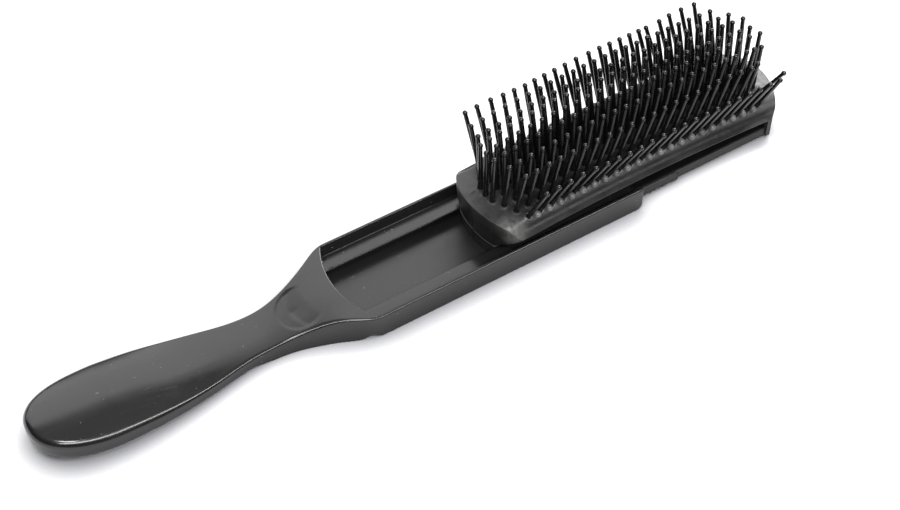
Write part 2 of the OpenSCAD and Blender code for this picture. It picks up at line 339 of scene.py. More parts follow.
def rubber_domes_painted_highlight():
    """The small domes along the long edges: paler than the rubber around them as a painted highlight, and smoother."""
    m, t, bs, co = nt("cushion_domes_painted_highlight")
    v = co.outputs["Object"]
    mott = noise(t, v, 260, 4, 0.6)
    fine = noise(t, v, 1500, 3, 0.6)
    col = mixc(t, remap(t, mott, 0.35, 0.68, 0.0, 1.0), (0.05, 0.0492, 0.0484), (0.14, 0.138, 0.135))
    t.links.new(col, bs.inputs["Base Color"])
    t.links.new(remap(t, mathn(t, "ADD", mott, fine), 0.7, 1.3, 0.26, 0.42), bs.inputs["Roughness"])
    t.links.new(bump(t, fine, 0.25, 0.00004), bs.inputs["Normal"])
    return m


def rubber_lower_painted_shade():
    """The cushion's lower parts: the same rubber painted darker as shade, and darkest and least specular in the slot
    under the lip.
    """
    m, t, bs, co = nt("cushion_rubber_painted_shade")
    v = co.outputs["Object"]
    mott = noise(t, v, 120, 5, 0.6)
    fine = noise(t, v, 1300, 4, 0.65)
    col = mixc(t, remap(t, mott, 0.35, 0.7, 0.0, 1.0), (0.006, 0.0059, 0.0058), (0.015, 0.0148, 0.0146))
    sep = t.nodes.new("ShaderNodeSeparateXYZ")
    t.links.new(v, sep.inputs[0])
    # painted shade: the slot under the lip is darkest
    slot_painted_shade = mathn(t, "MULTIPLY", remap(t, mathn(t, "ABSOLUTE", sep.outputs[1]), 0.0140, 0.0150, 1.0, 0.0), remap(t, sep.outputs[0], 0.002, 0.010, 0.0, 1.0))
    gm = t.nodes.new("ShaderNodeMix")
    gm.data_type = "RGBA"
    t.links.new(mathn(t, "MULTIPLY", slot_painted_shade, 0.85), gm.inputs[0])
    t.links.new(col, gm.inputs[6])
    gm.inputs[7].default_value = (0.0016, 0.0016, 0.0016, 1)
    t.links.new(gm.outputs[2], bs.inputs["Base Color"])
    t.links.new(remap(t, slot_painted_shade, 0.0, 1.0, 0.5, 0.12), bs.inputs["Specular IOR Level"])
    t.links.new(remap(t, mathn(t, "ADD", mott, fine), 0.7, 1.3, 0.48, 0.66), bs.inputs["Roughness"])
    n1 = bump(t, fine, 0.30, 0.00005)
    n2 = bump(t, mott, 0.25, 0.0003, n1)
    t.links.new(n2, bs.inputs["Normal"])
    return m


def nylon_black():
    """Glossy black nylon pins."""
    m, t, bs, co = nt("pin_nylon_black")
    v = co.outputs["Object"]
    mott = noise(t, v, 160, 3, 0.5)
    fine = noise(t, v, 1800, 3, 0.6)
    col = mixc(t, mott, (0.0030, 0.0029, 0.0029), (0.0065, 0.0063, 0.0062))
    t.links.new(col, bs.inputs["Base Color"])
    t.links.new(remap(t, mathn(t, "ADD", mott, fine), 0.7, 1.3, 0.10, 0.17), bs.inputs["Roughness"])
    bs.inputs["IOR"].default_value = 1.46
    t.links.new(bump(t, fine, 0.05, 0.00001), bs.inputs["Normal"])
    return m


def floor_white():
    """White sweep that glows through emission, as on a light table; an ambient-occlusion node dims the glow into a
    painted contact shadow where something stands close over it, and its faint blue base shows in that painted shadow.
    """
    m, t, bs, co = nt("studio_floor")
    f = noise(t, co.outputs["Object"], 3, 2, 0.5)
    t.links.new(mixc(t, f, (0.255, 0.255, 0.272), (0.272, 0.272, 0.290)), bs.inputs["Base Color"])
    bs.inputs["Roughness"].default_value = 0.7
    bs.inputs["Specular IOR Level"].default_value = 0.1
    # painted contact shadow: ambient occlusion drives the floor's glow
    ao = t.nodes.new("ShaderNodeAmbientOcclusion")
    ao.samples = 12
    ao.inputs["Distance"].default_value = 0.0115
    bs.inputs["Emission Color"].default_value = (1, 1, 1, 1)
    t.links.new(mathn(t, "POWER", remap(t, ao.outputs["AO"], 0.42, 0.98, 0.0, 1.0), 1.45), bs.inputs["Emission Strength"])
    return m


# ------------------------------------------------------------------ handle
X_BUTT, X_KINK, X_OPEN = -171.5, -54.5, 54.5
HW, RIM_T, TRAY_H = 20.0, 1.3, 9.7
RAIL_TOP, RAIL_UNDER, RAIL_GAP, CH_HALF, FLOOR_T = 5.6, 4.6, 11.3, 17.2, 1.0
X_REC, REC_R = -60.9, 36.8
BUTT_X, BUTT_L, BUTT_W = -144.0, 27.5, 16.0           # the superelliptic butt starts at BUTT_X

w_tab = spline([-144, -136, -128, -120, -112, -104, -98, -92, -86, -80, -74, -68, -63, -59.5, -57, -54.5, -50, -46],
               [16.0, 15.7, 15.0, 13.8, 12.3, 10.55, 9.45, 8.9, 8.95, 9.8, 11.4, 13.7, 16.35, 18.35, 19.45, 19.95, 20.0, 20.0])
zc_tab = spline([-144, -136, -128, -120, -112, -104, -98, -92, -86, -80, -74, -68, -63, -59, -56.5, -54.5, -50, -46],
                [8.8, 7.98, 7.2, 6.42, 5.92, 5.7, 5.55, 5.45, 5.75, 6.75, 8.25, 9.5, 9.85, 9.85, 9.78, 9.7, 9.7, 9.7])
cr_tab = spline([-144, -132, -124, -116, -108, -100, -94, -88, -82, -78, -74, -70, -66, -62, -58, -50],
                [3.0, 2.65, 2.0, 1.35, 0.85, 0.5, 0.38, 0.32, 0.3, 0.28, 0.24, 0.18, 0.1, 0.04, 0, 0])
zb_tab = spline([-144, -132, -124, -116, -108, -100, -90, -60, 54.5],
                [0.7, 0.4, 0.25, 0.15, 0.08, 0.05, 0.04, 0.04, 0.04])
n_tab = spline([-144, -132, -124, -116, -108, -100, -94, -88, -80], [4.1, 4.1, 4.3, 4.6, 5.2, 6.0, 7.2, 9, 12])
rho_tab = spline([-171, -158, -150, -144, -132, -120, -108, -96, -86, -80, -75, -70, -66, -62, -58, -54.5, -50, -46],
                 [2.2, 2.2, 2.15, 2.05, 1.85, 1.5, 1.2, 1.1, 1.05, 1.15, 1.3, 1.3, 1.1, 0.85, 0.75, 0.75, 0.8, 0.8])
flare_tab = spline([-101, -96, -91.5, -81, -71, -62, -58, -55], [0, 0.15, 0.5, 1.0, 1.3, 0.75, 0.2, 0])
foot_tab = spline([-64, -61.9, -59.9, -57.9, -56.5, -55.2, -54.2, -52], [0.4, 0.5, 1.5, 2.7, 2.0, 0.9, 0.45, 0.4])


def u_of(x):
    return np.clip((BUTT_X - x) / BUTT_L, 0, 1)


def h_w(x):
    if x < BUTT_X:
        return BUTT_W * max(0.0, 1 - u_of(x) ** 2.3) ** (1 / 2.3)
    return float(min(w_tab(x), HW)) if x < -54.5 else HW


def h_zc(x):
    if x < BUTT_X:
        return 8.8 + 3.5 * u_of(x) ** 1.35
    return float(zc_tab(x)) if x < -46 else TRAY_H


def h_cr(x):
    if x < BUTT_X:
        return 3.0 * max(0.0, 1 - u_of(x) ** 2.3) ** 0.6
    return max(0.0, float(cr_tab(x))) if x < -56 else 0.0


def h_zb(x):
    if x < BUTT_X:
        return 0.7 + 7.6 * (1 - max(0.0, 1 - u_of(x) ** 4) ** 0.4)
    return max(0.0, float(zb_tab(x)))


def h_n(x):
    return 4.1 - 0.8 * u_of(x) if x < BUTT_X else float(n_tab(x))


def h_rho(x):
    return float(rho_tab(x)) if x < -46 else 0.8


def edge_dist(x, a, w):
    """Distance in plan from the outline, for a point at height a across the grip."""
    if x < BUTT_X:
        u, v = (BUTT_X - x) / BUTT_L, a / BUTT_W
        g = np.maximum((u ** 2.3 + v ** 2.3) ** (1 / 2.3), 1e-6)
        return np.maximum(0, (1 - g) / np.hypot((u / g) ** 1.3 / BUTT_L, (v / g) ** 1.3 / BUTT_W))
    sl = (h_w(x + 0.2) - h_w(x - 0.2)) / 0.4 if x < -54.6 else 0.0
    return (w - a) / math.sqrt(1 + sl * sl)


def dish(x, y, z):
    """The thumb rest: a crescent-shaped flat cut into the rising neck, with a fine step at its butt side."""
    d_out = 8.8 - math.hypot(x + 74.6, y - 0.5)
    if d_out < 0:
        return z
    t = float(sstep(0.0, 1.5, d_out))
    q = x - (-79.0 + (0.035 if y > 0 else 0.10) * y * y)
    back = 1 - float(sstep(1.0, 8.0, q))
    inner = float(sstep(-0.3, 1.9, q)) * back
    lean = 0.055 * 0.9 * math.log1p(math.exp((4.0 - y) / 0.9)) * (1 - float(sstep(1.5, 7.0, -y)))
    return z - (0.17 * back + (0.10 + lean) * inner) * t


def top_z(x, y, w):
    z = h_zc(x) + h_cr(x) * (1 - min(1.0, abs(y) / max(w, 1e-6)) ** 2)
    return dish(x, y, z)


def resample(poly, n):
    """n + 1 points evenly spaced along a polyline."""
    p = np.asarray(poly, float)
    s = np.r_[0, np.cumsum(np.hypot(*np.diff(p, axis=0).T))]
    if s[-1] < 1e-9:
        return np.repeat(p[:1], n + 1, axis=0)
    t = np.linspace(0, s[-1], n + 1)
    return np.stack([np.interp(t, s, p[:, 0]), np.interp(t, s, p[:, 1])], 1)


def under_profile(x, w, zc, zb):
    """From the middle of the underside round to just below the shoulder: (y, z), always 31 points."""
    fl = float(flare_tab(x)) if -101 < x < -55 else 0.0
    r = float(foot_tab(x)) if -64 < x < -52 else 0.4
    r = min(r, 0.4 * w + 1e-4, 0.45 * (zc - zb))
    boxy = float(sstep(-99, -88, x))
    if boxy > 0:
        flat = [(0, zb), (min(CH_HALF, w - r), zb)]
        c = (w - r, zb + r)
        arc = [(c[0] + r * math.sin(a), c[1] - r * math.cos(a)) for a in np.linspace(0, math.pi / 2, 9)]
        a1 = resample(flat, 8)
        a2 = resample([flat[-1], arc[0]], 4)
        box = np.vstack([a1, a2[1:], np.array(arc)[1:], resample([arc[-1], (w, zc)], 10)[1:]])
    if boxy < 1:
        n = h_n(x)
        th = np.linspace(math.pi / 2, 0, 400)
        ys = w * np.cos(th) ** (2 / n)
        zs = zc - (zc - zb) * np.sin(th) ** (2 / n)
        ys[0], zs[-1] = 0, zc
        s = np.r_[0, np.cumsum(np.hypot(np.diff(ys), np.diff(zs)))]
        sc = np.interp(math.pi / 4, th[::-1], s[::-1])
        L = min(1.6 + 0.25 * w * (4 / n), 0.45 * sc, 0.45 * (s[-1] - sc))
        k = sc * CH_HALF / HW
        t = np.r_[np.linspace(0, min(k, sc - L) * 0.86, 9), np.linspace(min(k, sc - L) * 0.86, sc - L, 5)[1:],
                  np.linspace(sc - L, sc + L, 9)[1:], np.linspace(sc + L, s[-1], 11)[1:]]
        rnd = np.stack([np.interp(t, s, ys), np.interp(t, s, zs)], 1)
    p = box if boxy >= 1 else rnd if boxy <= 0 else box * boxy + rnd * (1 - boxy)
    if fl > 0:                                 # the sides spread towards the foot
        p = p.copy()
        p[:, 0] *= 1 + fl / w * (zc - p[:, 1]) / zc
    return p


def rec_curve():
    """Edge of the recess in plan, from its deepest point to the open end: points and outward normals."""
    pts, nrm = [], []
    rc = 1.0
    xc = X_REC + REC_R
    yw = HW - RIM_T
    xf = xc - math.sqrt((REC_R - rc) ** 2 - (yw - rc) ** 2)
    a_end = math.atan2(yw - rc, xc - xf)
    for a in np.linspace(0, a_end, 14):
        n = (-math.cos(a), math.sin(a))
        pts.append((xc + REC_R * n[0], REC_R * n[1]))
        nrm.append(n)
    for a in np.linspace(math.pi - a_end, math.pi / 2, 7)[1:]:
        n = (math.cos(a), math.sin(a))
        pts.append((xf + rc * n[0], yw - rc + rc * n[1]))
        nrm.append(n)
    xs = [-54.4, -52, -48] + list(np.linspace(-42, 48, 16)) + [51, 52.1, 52.8, 53.5, 53.9, 54.15, 54.3, 54.42, 54.5]
    for x in xs:
        pts.append((x, yw))
        nrm.append((0.0, 1.0))
    return np.array(pts), np.array(nrm)


def end_inset(x):
    """Rounding of every edge at the open end."""
    r = 0.35
    d = x - (X_OPEN - r)
    return r - math.sqrt(max(0.0, r * r - d * d)) if d > 0 else 0.0


def end_lift(x):
    """The lower corner at the open end is rounded off."""
    r = 2.4
    d = x - (X_OPEN - r)
    return r - math.sqrt(max(0.0, r * r - d * d)) if d > 0 else 0.0


def build_handle():
    F = 0.3                                   # fillet along the top edge of the recess
    c1, nr = rec_curve()
    c0 = c1 + nr * F
    butt = [BUTT_X - BUTT_L * math.sin(a) ** (2 / 2.3) for a in np.linspace(math.pi / 2 * 0.9999, 0, 36)]
    body = list(np.arange(BUTT_X + 1.5, -98.5, 1.5)) + list(np.arange(-98.0, -86.5, 0.8)) + list(np.arange(-86.0, -61.4, 0.25))
    st = [(x, None) for x in butt + [b for b in body if b < c0[0][0] - 0.05]] + [(c0[i][0], i) for i in range(len(c0))]
    NT = 26
    FR = np.array([0.012, 0.05, 0.11, 0.2, 0.31, 0.45, 0.62, 0.8, 1.0])
    rows = []
    for x, i in st:
        ins, lift = end_inset(x), end_lift(x)
        w, zc = h_w(x), h_zc(x)
        rho = min(h_rho(x), 0.42 * (zc - h_zb(x)))
        zb = max(h_zb(x), 0.0) + lift
        ze = zc - rho
        prof = under_profile(x, w - ins, ze - ins, max(zb, 0.02))
        pts = [(x, y, z) for y, z in prof]
        if lift > 0:                           # the thin floor stops where the rounding reaches it
            for k in range(0, 9):
                xx, y, z = pts[k]
                pts[k] = (min(x, X_OPEN - 0.45), y, min(z, FLOOR_T))
        # shoulder, then across the top
        yb = 0.0 if i is None else c0[i][1] + ins
        w2 = w - ins
        ys = np.linspace(max(w, 1e-3), yb, 241)
        ds = edge_dist(x, ys, w)
        dmax = float(ds[-1])
        dl = min(rho, 0.6 * dmax)
        for d in FR * dl:
            y = float(np.interp(d, ds, ys)) if ds[-1] > ds[0] + 1e-9 else yb
            k = max(0.0, rho - d)
            z = top_z(x, y, w) - (rho - math.sqrt(max(0.0, rho * rho - k * k)))
            pts.append((x, min(y, w2), z - ins))
        y1 = pts[-1][1]
        for s in np.linspace(0, 1, NT + 1)[1:]:
            y = y1 * (1 - s) + yb * s
            d = float(np.interp(-y, -ys, ds))
            k = max(0.0, rho - d)
            z = top_z(x, y, w) - (rho - math.sqrt(max(0.0, rho * rho - k * k)))
            pts.append((x, y, z - ins))
        rows.append(pts)
    outer = np.array(rows)                     # ni x nj x 3
    ni, nj = outer.shape[:2]
    first = len(st) - len(c0)

    # inside of the recess, one column for each point of its edge
    cols = []
    arc_n = 14
    for i in range(len(c1)):
        x0, y0 = c1[i]
        n = nr[i]
        ins = end_inset(x0)
        lift = end_lift(x0)
        zt = outer[first + i, -1, 2]
        straight = float(sstep(arc_n - 1, arc_n + 6, i))
        col = [tuple(outer[first + i, -1])]
        for a in np.linspace(0, math.pi / 2, 5)[1:]:
            d = F * (1 - math.sin(a))
            col.append((x0 + n[0] * d, y0 + ins + n[1] * d, zt - F * (1 - math.cos(a))))
        col[-1] = (x0, y0 + ins, zt - F)
        drop = zt - F - RAIL_TOP
        for s in (0.3, 0.65, 0.94):
            col.append((x0, y0 + ins - 1.0 * straight * s, zt - F - drop * s))
        foot = y0 + ins - 1.0 * straight
        col.append((x0, foot - 0.18 * straight, RAIL_TOP + 0.02))

        def lim(y):
            return min(y, y0 + ins)

        e = RAIL_GAP + ins
        for y, z in ((e + 4.2, RAIL_TOP), (e + 1.0, RAIL_TOP), (e + 0.22, RAIL_TOP), (e + 0.07, RAIL_TOP - 0.07), (e, RAIL_TOP - 0.22),
                     (e, RAIL_UNDER + 0.15), (e + 0.15, RAIL_UNDER), (CH_HALF - 2, RAIL_UNDER), (CH_HALF + ins, RAIL_UNDER),
                     (CH_HALF + ins, FLOOR_T + 0.4), (CH_HALF + ins - 0.12, FLOOR_T + 0.12), (CH_HALF + ins - 0.4, FLOOR_T)):
            z -= ins if z > 5 else 0
            col.append((x0, lim(y), z))
        for s in np.linspace(1, 0, 12)[1:]:
            col.append((x0, lim((CH_HALF - 0.4) * s), FLOOR_T))
        if lift > 0:
            for k in range(len(col) - 12, len(col)):
                xx, y, z = col[k]
                col[k] = (min(x0, X_OPEN - 0.45), y, z)
        cols.append(col)
    inner = np.array(cols)
    mi, mj = inner.shape[:2]

    verts = np.vstack([outer.reshape(-1, 3), inner.reshape(-1, 3)])
    faces = grid_quads(ni, nj) + grid_quads(mi, mj, base=ni * nj)
    m = verts.copy()
    m[:, 1] *= -1
    faces = faces + [tuple(len(verts) + k for k in f[::-1]) for f in faces]
    verts = np.vstack([verts, m])
    ob = new_object("handle_moulding", verts, faces, weld=0.004, fill=True, sharp=50)
    weighted(ob)
    return ob


# ------------------------------------------------------------------ cushion
WEB_X0, PAD_X0, PAD_X1 = -5.1, -6.9, 122.7
PAD_XM = (PAD_X0 + PAD_X1) / 2
END_R = 27.6
LIP_Z, LIP_H = 12.8, 20.0
ARCH = 3.0
CROWN = 19.7
PITCH = 4.8

# rows: distance from the middle, lean outwards, first pin, pins
ROWS = [(15.2, 25.0, 13.0, 22), (11.4, 11.5, 10.6, 23), (7.4, 6.0, 8.2, 24), (3.7, 2.5, 5.8, 25), (0.0, 0.0, 5.4, 25),
        (-3.7, -2.5, 5.8, 25), (-7.4, -6.0, 8.2, 24), (-11.4, -11.5, 10.6, 23), (-15.2, -25.0, 13.0, 22)]
FIRST_X = WEB_X0 - 0.4

prof_mid = spline([0, 4, 8, 11, 13.5, 15.0, 15.8, 16.4, 17.1, 17.8, 18.5, 19.2, 20],
                  [0, -0.13, -0.62, -1.2, -1.85, -2.33, -2.78, -3.5, -4.65, -5.5, -6.0, -6.32, -6.64])
prof_end = spline([0, 4, 8, 11, 13.5, 15.2, 16.2, 17.2, 18.2, 19.2, 19.75, 20],
                  [-0.1, -0.22, -0.68, -1.2, -1.85, -2.45, -3.0, -3.75, -4.7, -5.8, -6.3, -6.6])


def arch(x):
    return ARCH * np.maximum(0, 1 - ((x - PAD_XM) / 64.8) ** 2)


def end_in(y):
    return END_R - np.sqrt(END_R ** 2 - y ** 2)


def far_in(y):
    """The far end's corners are rounded a little more."""
    return end_in(y) + 1.2 * sstep(17.0, 20.2, np.abs(y))


def seat_in(y):
    return 36.5 - np.sqrt(36.5 ** 2 - y ** 2)


def under_z(y):
    y = np.abs(y)
    z = LIP_Z - 0.57 * (20.0 - y) - 0.7 * sstep(0.0, 2.5, 20.0 - y)
    return z + (5.9 - z) * (1 - sstep(10.6, 11.1, y))


def pad_top(x, y):
    """Smooth height of the cushion, before bumps."""
    a = np.abs(y)
    mid = np.minimum(x - PAD_X0, PAD_X1 - x)
    k = sstep(5, 12, mid)
    return CROWN + prof_end(a) * (1 - k) + prof_mid(a) * k


def pin_roots():
    out = []
    for r, (y0, lean, off, n) in enumerate(ROWS):
        for i in range(n):
            out.append((r, i, FIRST_X + off + PITCH * i, y0))
    return out


def relief(x, y):
    """Moulded bumps between the outer pins, collars round the pins and the rubber's unevenness."""
    h = np.zeros_like(x)
    rng = np.random.RandomState(11)
    for r, i, px, py in pin_roots():
        j = rng.rand(3) - 0.5
        d = np.hypot(x - px - 0.1 * j[0], y - py - 0.1 * j[1])
        h = h + (0.34 + 0.12 * j[2]) * np.exp(-((d - 1.15) / 0.42) ** 2) - 0.35 * np.exp(-(d / 0.75) ** 2)
        if 0 < abs(py) < 15:
            h = h + 0.16 * np.exp(-((x - px - PITCH / 2) / 1.2) ** 2 - ((y - py) / 1.1) ** 2)
    n1, n2, n3 = noise2(3), noise2(5), noise2(8)
    h = h + 0.10 * n1(x / 22, y / 22) + 0.05 * n2(x / 7, y / 7) + 0.018 * n3(x / 2.2, y / 2.2)
    # creases at the near corner and across the bare end band
    for cx, cy, a, ln, wd, hh in ((-2.0, -16.4, 0.9, 2.6, 0.55, 0.32), (-0.2, -15.0, 1.3, 2.2, 0.5, 0.28), (-3.2, -13.6, 0.6, 2.0, 0.5, 0.2),
                                  (1.4, -17.6, 1.0, 2.2, 0.45, 0.25), (-2.6, 4.0, 0.2, 2.4, 0.5, 0.14), (-4.4, 9.0, 1.2, 2.0, 0.5, 0.12)):
        u = (x - cx) * math.cos(a) + (y - cy) * math.sin(a)
        v = -(x - cx) * math.sin(a) + (y - cy) * math.cos(a)
        h = h + hh * np.exp(-(u / ln) ** 2 - (v / wd) ** 2)
    return h


def edge_domes():
    """Small moulded domes along both long edges, one between each two pins of the outer rows."""
    rng = np.random.RandomState(17)
    v, f = [], []
    n, m = 14, 8
    for sg in (1, -1):
        for i in range(1, 22):
            cx = FIRST_X + 13.8 + PITCH * (i - 0.5) + 0.2 * (rng.rand() - 0.5)
            cy = 16.0 - 0.4 * (i / 21.0) ** 3 + 0.12 * (rng.rand() - 0.5)
            cz = float(pad_top(np.array(cx), np.array(cy))) + float(arch(cx)) + 0.3
            ra = 1.38 + 0.08 * (rng.rand() - 0.5)
            b = len(v)
            for a in np.linspace(0.12, math.radians(125), m):
                for k in range(n):
                    q = 2 * math.pi * k / n
                    # dome axis follows the slope of the edge
                    lx, ly, lz = ra * math.sin(a) * math.cos(q), ra * math.sin(a) * math.sin(q), ra * 0.95 * math.cos(a)
                    c, d = math.cos(0.5), math.sin(0.5)
                    v.append((cx + lx, sg * (cy + ly * c + lz * d), cz - ly * d + lz * c))
            for j in range(m - 1):
                for k in range(n):
                    kk = (k + 1) % n
                    f.append((b + j * n + k, b + j * n + kk, b + (j + 1) * n + kk, b + (j + 1) * n + k))
            f.append(tuple(b + k for k in range(n)))
            f.append(tuple(b + (m - 1) * n + k for k in range(n - 1, -1, -1)))
    return v, f


def build_cushion():
    nv = 132
    # spread the points across so that the edges are well resolved
    vy = np.linspace(-1, 1, nv - 6)
    ys = 20.0 * (0.72 * vy + 0.28 * np.sin(vy * math.pi / 2))
    ys = np.sort(np.r_[ys, [-0.66, -0.5, -0.36, -0.14, 0.0, 0.14]])
    LN = PAD_X1 - PAD_X0
    ends = np.array([0, 0.04, 0.1, 0.18, 0.28, 0.42, 0.62, 0.86, 1.15]) / LN
    u = np.r_[ends, np.linspace(1.5 / LN, 1 - 1.5 / LN, 340), 1 - ends[::-1]]
    nu = len(u)
    E = 0.28                                                # rounding of the crown's end edges
    Y = np.repeat(ys[None, :], nu, 0)
    near = PAD_X0 + end_in(Y)
    far = PAD_X1 - far_in(Y)
    X = near * (1 - u[:, None]) + far * u[:, None]
    Z = pad_top(X, Y) + arch(X)
    rel = relief(X, Y)
    edge = np.minimum(X - near, far - X)
    side = 20.0 - np.abs(Y)
    damp = sstep(0.0, 1.6, edge) * sstep(0.0, 2.2, side)
    Z = Z + rel * damp
    # round the end edges over
    d = np.clip(E - edge, 0, E)
    Z = Z - (E - np.sqrt(np.maximum(E * E - d * d, 0)))
    top = np.stack([X, Y, Z], 2)

    # underside, with the end walls leaning in to the seat
    def wall(y, z, zt, nearside):
        t = np.clip((zt - z) / np.maximum(zt - RAIL_TOP, 1e-6), 0, 1)
        if nearside:
            return (PAD_X0 + end_in(y)) * (1 - t) + (WEB_X0 + seat_in(y)) * t
        return PAD_X1 - far_in(y) - 0.6 * t

    zu = under_z(Y)
    zt0, zt1 = pad_top(near, Y), pad_top(far, Y)
    xn = wall(Y, zu, zt0, True)
    xf = wall(Y, zu, zt1, False)
    XB = xn * (1 - u[:, None]) + xf * u[:, None]
    bot = np.stack([XB, Y, zu + arch(XB)], 2)

    verts = [top.reshape(-1, 3), bot.reshape(-1, 3)]
    nb = nu * nv
    faces = grid_quads(nu, nv)
    faces += [tuple(nb + k for k in f[::-1]) for f in grid_quads(nu, nv)]
    # end walls
    K = 16
    wob = noise2(21)
    wob2 = noise2(22)
    for side_i, row in ((0, 0), (1, nu - 1)):
        base = sum(len(v) for v in verts)
        t_row, b_row = top[row], bot[row]
        pts = []
        for k in range(1, K):
            s = k / K
            z = t_row[:, 2] * (1 - s) + b_row[:, 2] * s
            x = wall(ys, z - arch(t_row[:, 0]), (zt0 if side_i == 0 else zt1)[0 if side_i == 0 else -1], side_i == 0)
            out = -1 if side_i == 0 else 1
            x = x + out * (0.07 * wob(ys / 9, z / 6) + 0.03 * wob2(ys / 2.5, z / 2.5)) * np.sin(math.pi * s)
            if side_i == 0:                                # the slit in the middle of the end wall
                x = x + 1.1 * np.exp(-((ys + 0.25) / 0.3) ** 4) * sstep(0.0, 0.08, s)
            pts.append(np.stack([x, ys, z], 1))
        P = np.array(pts).reshape(-1, 3)
        verts.append(P)
        idx = [[(row * nv + j) for j in range(nv)]] + [[base + (k * nv + j) for j in range(nv)] for k in range(K - 1)] + [[nb + row * nv + j for j in range(nv)]]
        for k in range(K):
            for j in range(nv - 1):
                q = (idx[k][j], idx[k][j + 1], idx[k + 1][j + 1], idx[k + 1][j])
                faces.append(q if side_i == 0 else q[::-1])
    # lip: thin edge joining top and underside along both sides
    for j in (0, nv - 1):
        for i in range(nu - 1):
            q = (i * nv + j, (i + 1) * nv + j, nb + (i + 1) * nv + j, nb + i * nv + j)
            faces.append(q)
    ob = new_object("cushion_crown", np.vstack(verts), faces, weld=0.002, sharp=42)
    weighted(ob)
    return ob


def plan_outline(half, x1, r=0.35, near_r=36.5, x0=WEB_X0, inset=0.0):
    """Near end curved to the seat, straight sides, square far end; counter-clockwise."""
    h = half - inset
    pts = []
    ya = np.sort(np.r_[np.linspace(-h + r, h - r, 42), [-0.62, -0.5, -0.25, 0.0, 0.12]])
    arc = [(x0 + inset + near_r - math.sqrt(near_r ** 2 - y * y) + (0.9 if abs(y + 0.25) < 0.27 else 0), y) for y in ya]
    xs = x0 + inset + near_r - math.sqrt(near_r ** 2 - h * h)
    pts += [(x, y) for x, y in arc[::-1]]                     # from +y to -y along the near end
    pts += [(xs + r * 0.3, -h + r * 0.3), (xs + r, -h)]
    pts += [(x, -h) for x in np.linspace(xs + r + 2, x1 - inset - 0.3, 30)] + [(x1 - inset, -h + 0.3)]
    pts += [(x1 - inset, h - 0.3)] + [(x, h) for x in np.linspace(x1 - inset - 0.3, xs + r + 2, 30)]
    pts += [(xs + r, h), (xs + r * 0.3, h - r * 0.3)]
    return pts


def prism(levels):
    """Closed solid through outlines of equal length: [(outline, z), ...]."""
    n = len(levels[0][0])
    v, f = [], []
    for out, z in levels:
        v += [(x, y, z if np.isscalar(z) else z) for x, y in out]
    m = len(levels)
    for i in range(m - 1):
        for j in range(n):
            k = (j + 1) % n
            f.append((i * n + j, i * n + k, (i + 1) * n + k, (i + 1) * n + j))
    f.append(tuple(range(n - 1, -1, -1)))
    f.append(tuple((m - 1) * n + j for j in range(n)))
    return v, f


